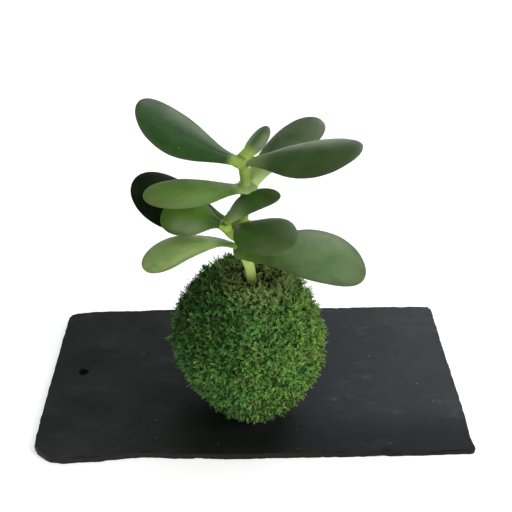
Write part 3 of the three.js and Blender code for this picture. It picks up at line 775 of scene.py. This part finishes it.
def frond_shape(rng, length, pairs, curl):
    """A moss shoot along +Z that curls towards +X: points, triangles, and 0 at the root to 1 at the tips."""

    def axis(t):
        return np.array([curl * length * t**2, 0.0, length * (t - 0.3 * curl * t**2)])

    points, tips, triangles = [], [], []
    for ring in range(AXIS_RINGS):
        t = ring / (AXIS_RINGS - 1)
        width = AXIS_WIDTH * (1.0 - 0.6 * t)
        points += [axis(t) + np.array([0.0, side * width / 2.0, 0.0]) for side in (-1.0, 1.0)]
        tips += [t * 0.6] * 2
        if ring:
            a = 2 * ring - 2
            triangles += [(a, a + 1, a + 3), (a, a + 3, a + 2)]
    for j in range(2 * pairs + 1):
        last = j == 2 * pairs
        t = 1.0 if last else 0.1 + 0.9 * (j + 0.5) / (2 * pairs)
        side = 0.0 if last else (-1.0 if j % 2 else 1.0)
        out = along = unit(axis(t) - axis(t - 0.05))
        splay = math.radians(LEAFLET["splay"] - LEAFLET["less_splay"] * t + rng.uniform(-14.0, 14.0))
        lift = np.array([rng.uniform(-0.35, 0.15), 0.0, 0.0])
        if not last:
            out = unit(math.cos(splay) * along + math.sin(splay) * np.array([0.0, side, 0.0]) + lift)
        size = length * (LEAFLET["size"] - LEAFLET["less_size"] * t) * rng.uniform(0.85, 1.15)
        blade = unit(np.cross(out, np.array([1.0, 0.0, 0.3 * side])))
        base = axis(t)
        middle = base + out * size * LEAFLET["widest"]
        fold = np.cross(blade, out) * size * LEAFLET["fold"]
        first = len(points)
        half = blade * size * LEAFLET["half_width"]
        points += [base, middle + half + fold, middle - half + fold, base + out * size]
        tips += [t * 0.6, 0.2 + 0.6 * t, 0.2 + 0.6 * t, 0.45 + 0.55 * t]
        triangles += [(first, first + 1, first + 3), (first, first + 3, first + 2)]
    return np.array(points), np.array(triangles), np.array(tips)


# The stem of a frond, flat and tapering
AXIS_RINGS = 4
AXIS_WIDTH = 0.24
# A frond's leaflets: splay and size at its root, how much less they are at its tip, and a leaflet's own shape
LEAFLET = {
    "splay": 66.0, "less_splay": 30.0, "size": 0.36, "less_size": 0.12,
    "widest": 0.4, "half_width": 0.4, "fold": 0.1,
}
# Sorts of frond: how many, length, leaflet pairs, how deep each is rooted and how steeply it rises
FROND_SORTS = (
    {"count": 10200, "length": 3.3, "pairs": 5, "depth": 0.5, "rise": 16.0},
    {"count": 9800, "length": 2.4, "pairs": 4, "depth": 0.15, "rise": 28.0},
)
FROND_PIECES = 4
# How far fronds are nudged from an even spread, as a part of their distance
FROND_NUDGE = 0.45
SHAPES_PER_SORT = 7
# How far the rise of fronds varies, and its limits
RISE_SPREAD = 15.0
RISE_LIMITS = (3.0, 42.0)
# Tufts that stand up: azimuth and elevation seen from the ball's middle, and how far they stand out
TALL_TUFTS = (
    (145, 54, 2.2), (123, 63, 1.6), (108, 65, 1.8), (43, 57, 1.8), (35, 53, 2.4), (26, 48, 1.4), (170, 30, 1.2),
    (14, 33, 1.4), (8, 23, 1.6), (-60, 58, 1.2), (-110, 60, 1.4), (75, 60, 1.6), (88, 30, 1.4),
    (60, 12, 1.2), (120, 8, 1.4), (-20, 42, 1.0), (-140, 45, 1.2), (-150, 15, 0.8), (-35, 10, 0.8),
)
# Fronds in each, how far their directions spread, and how deep they are rooted
TALL_TUFT_FRONDS = 14
TALL_TUFT_REACH = 0.035
TALL_TUFT_ROOT = 2.0
# Crumbs of moss on the tile
CRUMBS = (
    (74, 18), (77, 15), (60, -23), (77, -23), (49, -34), (48, -27), (112, 9), (95, 19), (27, -52), (26, -66),
    (-58, -40), (-70, 22), (-20, -62), (104, -44),
)
# How near the stem's axis a frond may stand
STEM_CLEARANCE = 3.5


def on_surface(vectors, normal):
    """The vectors' parts along the surface."""
    return vectors - normal * (vectors * normal).sum(-1, keepdims=True)


def plant_fronds(rng):
    """Every frond's place, axes, size, shape and looks: shoots that creep out from each tuft and turn up."""
    planted = []
    for number, sort in enumerate(FROND_SORTS):
        count = sort["count"]
        nudge = FROND_NUDGE * math.sqrt(4.0 * math.pi / count)
        directions = unit(even_directions(count) + rng.normal(0.0, nudge, (count, 3)))
        up = directions[:, 2]
        place, owner = moss_skin(directions)
        normal = skin_normals(directions)
        from_crater = crater_distance(place)
        on_soil = (up > 0) & (from_crater < OPENING_RADIUS)
        keep = (place[:, 2] >= SLATE_THICK + 0.2) & (flat_distance(place, STEM_AXIS[2]) > STEM_CLEARANCE)
        place[on_soil, 2] = SOIL_TOP + rng.uniform(-0.5, 1.5, on_soil.sum())
        splay = on_surface(directions - owner, normal)
        tangent = unit(on_surface(rng.normal(0.0, 1.0, place.shape), normal))
        creep = unit(on_surface(0.75 * tangent + 9.0 * splay + 0.25 * UP, normal))
        flatter = 1.0 - 0.6 * smoothstep(0.0, -0.5, up)
        rise = np.clip(rng.normal(sort["rise"], RISE_SPREAD, count) * flatter, *RISE_LIMITS)
        rise = np.radians(rise)[:, None]
        grow = np.cos(rise) * creep + np.sin(rise) * normal
        inward = np.where(rng.random(count) < 0.7, -1.0, 1.0)[:, None]
        size = rng.uniform(0.75, 1.25, count) * (1.0 - 0.25 * smoothstep(-0.1, -0.6, up))
        clump = smooth_noise(place, 4.0, 21.0, 2)
        to_right = to_right_of_ball(place)
        # Painted shade: darker on the ball's upper left, away from the light
        painted_shade = 0.6 * smoothstep(0.2, -0.8, to_right) * smoothstep(40.0, 85.0, place[:, 2])
        crown = smoothstep(26.0, 15.0, from_crater) * (up > 0) * smoothstep(-0.4, 0.3, to_right)
        # Painted light: lighter in the crater right of the stem and low on the ball
        lighter = 0.9 * crown + 0.36 * smoothstep(45.0, 15.0, place[:, 2])
        from_tuft = np.linalg.norm(directions - owner, axis=-1)
        # Painted shade in the crevices between tufts
        painted_shade += 0.4 * smoothstep(0.05, 0.11, from_tuft) - 0.12
        shade = np.clip(rng.normal(0.66, 0.16, count) + 0.6 * clump - painted_shade + lighter, 0.0, 1.0)
        warm, dry = moss_looks(place, rng)
        sunk = sort["depth"] + rng.uniform(-0.5, 0.5, (count, 1))
        sunk += 0.4 + 0.5 * smoothstep(-0.1, -0.6, up[:, None])
        sunk += 0.6 * smoothstep(0.07, 0.02, from_tuft)[:, None]
        fronds = dict(
            place=place - normal * sunk, grow=grow, curl_to=inward * normal + 0.35 * tangent, size=size,
            shape=number * SHAPES_PER_SORT + rng.integers(0, SHAPES_PER_SORT, count),
            # lift is painted light: frond tips paler in the crater
            shade=shade, lift=0.6 * crown, warm=warm, dry=dry,
        )
        planted.append({key: values[keep] for key, values in fronds.items()})
    return join(planted)


def join(groups):
    """Groups of fronds as one."""
    return {key: np.concatenate([group[key] for group in groups]) for key in groups[0]}


def taller_fronds(rng):
    """Little tufts that stand up from the ball, and crumbs of moss that fell on the tile."""
    place, grow = [], []
    for azimuth, elevation, height in TALL_TUFTS:
        middle = pointing(math.radians(elevation), math.radians(azimuth))
        directions = unit(middle + rng.normal(0.0, TALL_TUFT_REACH, (TALL_TUFT_FRONDS, 3)))
        place.append(moss_skin(directions)[0] + directions * (height - TALL_TUFT_ROOT))
        grow.append(unit(directions + 6.0 * (directions - middle) + rng.normal(0.0, 0.35, directions.shape)))
    for x, y in CRUMBS:
        count = rng.integers(1, 4)
        offset = np.column_stack([rng.normal(0.0, 1.0, (count, 2)), np.full(count, 0.3)])
        place.append(np.array([x, y, SLATE_THICK]) + offset)
        grow.append(unit(np.column_stack([rng.normal(0.0, 1.0, (count, 2)), np.full(count, 0.15)])))
    place, grow = np.vstack(place), np.vstack(grow)
    warm, dry = moss_looks(place, rng)
    on_tile, count = place[:, 2] < SLATE_THICK + 1.0, len(place)
    return dict(
        place=place, grow=grow, curl_to=rng.normal(0.0, 1.0, place.shape),
        size=np.where(on_tile, 0.55, 1.0) * rng.uniform(0.7, 1.15, count),
        shape=rng.integers(0, len(FROND_SORTS) * SHAPES_PER_SORT, count),
        shade=rng.uniform(0.5, 1.0, count), lift=np.zeros(count),
        warm=np.where(on_tile, 0.0, warm), dry=np.where(on_tile, 0.0, dry),
    )


def fronds_piece(name, fronds, shapes, material):
    """Fronds merged into one mesh."""
    parts, looks = [], []
    for number, (shape, faces, tips) in enumerate(shapes):
        chosen = fronds["shape"] == number
        alike = {key: values[chosen] for key, values in fronds.items()}
        count = len(alike["shape"])
        if not count:
            continue
        z = alike["grow"]
        x = unit(on_surface(alike["curl_to"], z))
        scaled = shape * alike["size"][:, None, None]
        placed = alike["place"][:, None]
        for k, axis in enumerate((x, np.cross(z, x), z)):
            placed = placed + scaled[..., k : k + 1] * axis[:, None]
        placed = placed.reshape(-1, 3)
        placed[:, 2] = np.maximum(placed[:, 2], SLATE_THICK + 0.05)
        first = np.arange(count) * len(shape)
        parts.append((placed, (faces + first[:, None, None]).reshape(-1, 3)))
        look = {label: np.repeat(alike[label], len(shape)) for label in ("warm", "dry", "shade", "lift")}
        # lift, painted light, raises the share of the paler tip colour
        look["tip"] = np.minimum(np.tile(tips, count) + look.pop("lift"), 1.0)
        looks.append(look)
    new_piece(name, *merge(parts), "moss_wrap", "moss", material, join(looks), smooth=False)


def moss_fronds():
    rng = np.random.default_rng(SEEDS["fronds"])
    shapes = []
    for sort in FROND_SORTS:
        for _ in range(SHAPES_PER_SORT):
            shapes.append(frond_shape(rng, sort["length"], sort["pairs"], rng.uniform(0.25, 0.8)))
    fronds = join([plant_fronds(rng), taller_fronds(rng)])
    material = moss_material("moss_frond")
    height = fronds["place"][:, 2]
    steps = np.quantile(height, np.linspace(0.0, 1.0, FROND_PIECES + 1))
    steps[-1] += 1.0
    for number in range(FROND_PIECES):
        chosen = (height >= steps[number]) & (height < steps[number + 1])
        part = {key: values[chosen] for key, values in fronds.items()}
        fronds_piece(f"moss_fronds_{number + 1}", part, shapes, material)


# Soil
def soil_ball():
    """The root ball, crumbly, with grains where it shows round the stem."""
    directions, triangles = sphere_directions(6)
    bottom = SLATE_THICK + MOSS_THICK
    reach = ellipsoid_reach(directions, BALL["radius"] - MOSS_THICK, (SOIL_TOP - bottom) / 2.0)
    points = np.array([BALL["x"], BALL["y"], (SOIL_TOP + bottom) / 2.0]) + directions * reach[:, None]
    points += directions * (0.5 * smooth_noise(points, 3.0, 12.0, 4) + 0.1)[:, None]
    parts = [(points, triangles)]
    rng = np.random.default_rng(SEEDS["soil"])
    grain_directions, grain_triangles = sphere_directions(2)
    for _ in range(SOIL_GRAINS):
        turn, out = rng.uniform(0.0, FULL_TURN), OPENING_RADIUS * math.sqrt(rng.random())
        place = np.array([*(CRATER["at"] + out * np.array([math.cos(turn), math.sin(turn)])), SOIL_TOP])
        lumps = 1.0 + 0.35 * smooth_noise(grain_directions * 0.6 + place, 0.8, 3.0, 2)
        grain = grain_directions * lumps[:, None] * rng.uniform(0.35, 1.15) * rng.uniform(0.7, 1.2, 3)
        parts.append((grain + place + UP * rng.uniform(-0.3, 0.25), grain_triangles))
    new_piece("soil_ball", *merge(parts), "soil_core", "soil", soil_material())


# Stem and leaves
def smooth_path(knots, count):
    """Points and radii along a curve through the knots."""
    knots = np.array(knots, float)
    ends = np.vstack([2.0 * knots[0] - knots[1], knots, 2.0 * knots[-1] - knots[-2]])
    at = np.linspace(0.0, len(knots) - 1, count)
    low = np.minimum(at.astype(int), len(knots) - 2)
    t = (at - low)[:, None]
    a, b, c, d = (ends[low + k] for k in range(4))
    curve = b + 0.5 * t * (c - a + t * (2.0 * a - 5.0 * b + 4.0 * c - d + t * (3.0 * (b - c) + d - a)))
    return curve[:, :3], curve[:, 3]


def tube(knots, count, sides, joints=()):
    """A closed round tube along the knots, swollen where leaves join."""
    path, radius = smooth_path(knots, count)
    for joint in joints:
        radius = radius + RING["swell"] * np.exp(-(((path[:, 2] - joint) / RING["width"]) ** 2))
    along = unit(np.gradient(path, axis=0))
    side = unit(np.cross(np.array([0.0, 1.0, 0.0]), along))
    front = np.cross(along, side)
    turn = full_turn(sides)[:, None]
    outward = np.cos(turn) * side[:, None] + np.sin(turn) * front[:, None]
    rings = path[:, None] + radius[:, None, None] * outward
    points, fans = close_ends(rings.reshape(-1, 3), count, sides)
    return points, ring_quads(count, sides), fans


def leaf_surface(leaf, start, end, stations, grow=0.0):
    """Points of a blade from start to end of its length, with its quads, end fans and looks."""
    fine = np.linspace(0.0, 1.0, MIDRIB_POINTS)
    rise = np.radians(leaf["rise"] + leaf["bend"] * fine + leaf["steep"] * np.exp(-fine / STEEP_OVER))
    azimuth = np.radians(leaf["azimuth"] + leaf["sweep"] * fine)
    heading = pointing(rise, azimuth)
    steps = (heading[1:] + heading[:-1]) / 2.0 * leaf["length"] / (len(fine) - 1)
    midrib = np.vstack([np.zeros(3), np.cumsum(steps, 0)]) + np.array(NODE[leaf["node"]])

    s = start + (end - start) * np.sin(math.pi / 2.0 * np.linspace(0.0, 1.0, stations))
    centre, along = (
        np.column_stack([np.interp(s, fine, values[:, k]) for k in range(3)]) for values in (midrib, heading)
    )
    along = unit(along)
    level = np.radians(leaf["azimuth"] + leaf["sweep"] * s)
    level = np.column_stack([-np.sin(level), np.cos(level), np.zeros(len(s))])
    turn = math.radians(leaf["roll"]) * smoothstep(0.0, ROLL_OVER, s)
    turn = (turn + math.radians(leaf["clasp"]) * smoothstep(*CLASP_OVER, s))[:, None]
    side = level * np.cos(turn) + np.cross(along, level) * np.sin(turn)
    above = np.cross(along, side)

    widest = leaf["widest"]
    below = s < widest
    opening = 0.5 - 0.5 * np.cos(math.pi * np.clip(s / widest, 0.0, 1.0) ** leaf["spread"])
    to_tip = np.clip((s - widest) / (1.0 - widest), 0.0, 1.0)
    closing = np.sqrt(np.clip(1.0 - to_tip ** leaf["blunt"], 0.0, 1.0))
    base = 1.0 - leaf["rounding"] * (1.0 - smoothstep(0.0, ROUNDED_OVER, s))
    stalked = base * (leaf["stalk"] + (1.0 - leaf["stalk"]) * opening)
    half_width = leaf["width"] / 2.0 * np.where(below, stalked, closing)
    half_thick = leaf["thick"] / 2.0 * np.where(below, 0.75 + 0.25 * opening, closing**0.8)
    if leaf["round"]:
        rounded = np.sqrt(1.0 - (1.0 - np.clip(s * leaf["length"] / leaf["round"], 0.0, 1.0)) ** 2)
        half_width, half_thick = half_width * rounded, half_thick * rounded
    half_width, half_thick = half_width + grow, half_thick + grow

    around = full_turn(LEAF_SIDES)
    lens = np.sin(around) * np.abs(np.sin(around)) ** 0.3
    across = np.cos(around)[None] * half_width[:, None]
    share = across / (leaf["width"] / 2.0)
    lift = leaf["cup"] * share**2 + half_thick[:, None] * lens[None]
    groove = GROOVE["depth"] * np.exp(-((across / GROOVE["width"]) ** 2)) * smoothstep(0.85, 0.1, s)[:, None]
    lift -= np.where(lens > 0.3, groove, -0.5 * groove * (lens < -0.3))
    points = centre[:, None] + across[..., None] * side[:, None] + lift[..., None] * above[:, None]
    points = points.reshape(-1, 3)
    sway = smooth_noise(points, SWAY["size"], leaf["azimuth"], 2) * SWAY["height"]
    sway *= smoothstep(0.15, 0.5, np.repeat(s, LEAF_SIDES))
    points += sway[:, None] * np.repeat(above, LEAF_SIDES, axis=0)

    points, fans = close_ends(points, len(s), LEAF_SIDES)
    across = np.tile(np.cos(around), len(s))
    right, left = leaf["bloom_and_sheen"]
    foot = np.repeat(smoothstep(leaf["pale"], FOOT_PALE, s * leaf["length"]), LEAF_SIDES)
    looks = {
        "along": (np.repeat(s, LEAF_SIDES), s[0], s[-1]),
        "across": (across, 0.0, 0.0),
        "upper": (np.tile(smoothstep(-0.05, 0.05, np.sin(around)), len(s)), 0.5, 0.5),
        # How far each margin takes the pale grey of bloom and painted sheen
        "bloom_and_sheen": (right * smoothstep(0.05, -0.75, across) + left * smoothstep(-0.05, 0.75, across), 0.0, 0.0),
        "foot": (foot, 1.0, 0.0),
    }
    looks = {label: np.hstack(look) for label, look in looks.items()}
    return points, ring_quads(len(s), LEAF_SIDES), fans, looks


def leaf_blades():
    materials = {tone: leaf_material(tone) for tone in LEAF_TONES}
    for name, leaf in LEAVES.items():
        start = FOOT_START / leaf["length"]
        points, quads, fans, looks = leaf_surface(leaf, start, LEAF_END, LEAF_STATIONS)
        new_piece(name + "_blade", points, [quads, fans], name, "leaf", materials[leaf["tone"]], looks)


# Rings along the stem and the side shoot, and points round each
STEM_RINGS = (160, 32)
SHOOT_RINGS = (40, 24)
STEM_VOXEL = 0.4
STEM_SOFTENING = 16
# Where the paler ring round a joint starts and is full
JOINT_REACH = (9.0, 3.0)


def leaf_foot(leaf):
    """A leaf's foot: its stalk, flared where it meets the stem, and a heel that runs down the stem."""
    start, end = STUB["start"] / leaf["length"], leaf["foot"] / leaf["length"]
    toward_end = np.sin(math.pi / 2.0 * np.linspace(0.0, 1.0, STUB["stations"]))
    flare = STUB["flare"] * (1.0 - toward_end) ** 2 - STUB["taper"] * smoothstep(0.6, 1.0, toward_end) + 0.25
    stalk = leaf_surface(leaf, start, end, STUB["stations"], flare)[:3]
    if leaf["clasp"]:
        return [stalk]
    node = np.array(NODE[leaf["node"]])
    ahead = pointing(math.radians(leaf["rise"] + leaf["steep"] / 2.0), math.radians(leaf["azimuth"]))
    down = unit(np.array(SHOOT_AXIS[0][:3]) - node) if leaf["node"].startswith("shoot") else -UP
    top, low = node + HEEL["out"] * ahead, node + HEEL["down"] * down
    middle = node + 0.25 * HEEL["out"] * ahead + 0.3 * HEEL["down"] * down
    knots = [(*top, HEEL["end_radius"]), (*middle, HEEL["radius"]), (*low, HEEL["end_radius"])]
    return [stalk, tube(knots, HEEL["rings"], HEEL["sides"])]


def stem_and_stalks():
    """Stem, side shoot and the foot of every leaf stalk, grown together into one skin."""
    joints = [NODE[key][2] for key in ("low", "middle", "upper", "top")]
    parts = [tube(STEM_AXIS, *STEM_RINGS, joints), tube(SHOOT_AXIS, *SHOOT_RINGS, [NODE["shoot"][2]])]
    for leaf in LEAVES.values():
        parts += leaf_foot(leaf)
    piece = new_piece("stem_skin", *merge(parts), "stem", "stem", stem_material())
    fuse(piece, STEM_VOXEL, STEM_SOFTENING)
    places = np.array([v.co[:] for v in piece.data.vertices]) / MM
    joint = np.zeros(len(places))
    for key in ("low", "middle", "shoot", "upper", "top"):
        from_node = np.linalg.norm(places - np.array(NODE[key]), axis=-1)
        joint = np.maximum(joint, smoothstep(*JOINT_REACH, from_node))
    for label, patch in (("sheath", SHEATH), ("collar", COLLAR)):
        away = np.linalg.norm((places - np.array(patch["middle"])) / np.array(patch["reach"]), axis=-1)
        add_floats(piece.data, label, smoothstep(1.0, 0.8, away))
    add_floats(piece.data, "joint", joint)
    add_floats(piece.data, "height", (places[:, 2] - SOIL_TOP) / (STEM_AXIS[-1][2] - SOIL_TOP))


def fuse(piece, voxel, softening):
    """Turns overlapping closed shapes into one skin and softens the joins."""
    remesh = piece.modifiers.new("fuse", "REMESH")
    remesh.mode = "VOXEL"
    remesh.voxel_size = voxel * MM
    soften = piece.modifiers.new("soften", "SMOOTH")
    soften.factor = 0.5
    soften.iterations = softening
    graph = bpy.context.evaluated_depsgraph_get()
    material = piece.data.materials[0]
    fused = bpy.data.meshes.new_from_object(piece.evaluated_get(graph))
    piece.modifiers.clear()
    piece.data = fused
    fused.materials.clear()
    fused.materials.append(material)
    fused.polygons.foreach_set("use_smooth", np.full(len(fused.polygons), True))


# Stage, light and camera
FLOOR_REACH = 60.0
# How brightly the floor glows under the object, and far away as a white backdrop, and between which distances
# in metres that changes
FLOOR_GLOW = (0.36, 0.95)
GLOW_SPREAD = (0.35, 1.6)
WORLD_LIGHT = 0.22
LIGHT_AIM = (0.0, -20.0, 70.0)
LIGHTS = {
    "top": dict(place=(160, 60, 1300), size=900, power=5.5, tint=(1.0, 1.0, 1.0)),
    "key": dict(place=(760, -480, 560), size=420, power=6.0, tint=(1.0, 0.98, 0.94)),
    "window": dict(place=(520, 900, 700), size=700, power=4.5, tint=(0.88, 0.94, 1.0)),
    "fill": dict(place=(-800, -600, 600), size=700, power=1.8, tint=(0.97, 0.99, 1.0)),
}


def make_floor():
    mesh = bpy.data.meshes.new("floor")
    corners = [(x * FLOOR_REACH, y * FLOOR_REACH, 0.0) for x, y in ((-1, -1), (1, -1), (1, 1), (-1, 1))]
    mesh.from_pydata(corners, [], [(0, 1, 2, 3)])
    r = Recipe("floor_pale")
    r.colour = r.mix(r.noise(400.0, 2.0), (244, 244, 243), (249, 249, 249))
    from_middle = r.node("ShaderNodeVectorMath", {0: r.place}, operation="LENGTH").outputs["Value"]
    glow = r.span(from_middle, *GLOW_SPREAD, *FLOOR_GLOW)
    mesh.materials.append(r.finish(0.8, 0.5, {"Emission Color": glow, "Emission Strength": 1.0}))
    place_object("floor", mesh)


def make_lights():
    aim = Vector(LIGHT_AIM) * MM
    for name, facts in LIGHTS.items():
        lamp = bpy.data.lights.new(name, "AREA")
        lamp.shape = "DISK"
        lamp.size = facts["size"] * MM
        lamp.energy = facts["power"]
        lamp.color = facts["tint"]
        light = place_object(name, lamp)
        light.location = Vector(facts["place"]) * MM
        light.rotation_euler = (aim - light.location).to_track_quat("-Z", "Y").to_euler()
    world = bpy.data.worlds.new("studio")
    world.use_nodes = True
    backdrop = world.node_tree.nodes["Background"]
    backdrop.inputs["Color"].default_value = (1.0, 1.0, 1.0, 1.0)
    backdrop.inputs["Strength"].default_value = WORLD_LIGHT
    bpy.context.scene.world = world


def make_camera():
    """A pinhole that looks along +Y, turned to the right, tilted down and rolled."""
    bpy.context.scene.view_settings.view_transform = "Standard"
    lens = bpy.data.cameras.new("camera")
    lens.sensor_width = SENSOR_WIDTH
    lens.lens = CAMERA["focal_pixels"] / IMAGE_PIXELS * SENSOR_WIDTH
    camera = place_object("camera", lens)
    placed = Matrix.Translation(Vector(CAMERA["place"]) * MM)
    for angle, axis in ((-CAMERA["turn"], "Z"), (90.0 - CAMERA["down"], "X"), (CAMERA["roll"], "Z")):
        placed = placed @ Matrix.Rotation(math.radians(angle), 4, axis)
    camera.matrix_world = placed
    bpy.context.scene.camera = camera


make_camera()
make_lights()
make_floor()
slate_tile()
soil_ball()
moss_mat()
moss_fronds()
stem_and_stalks()
leaf_blades()
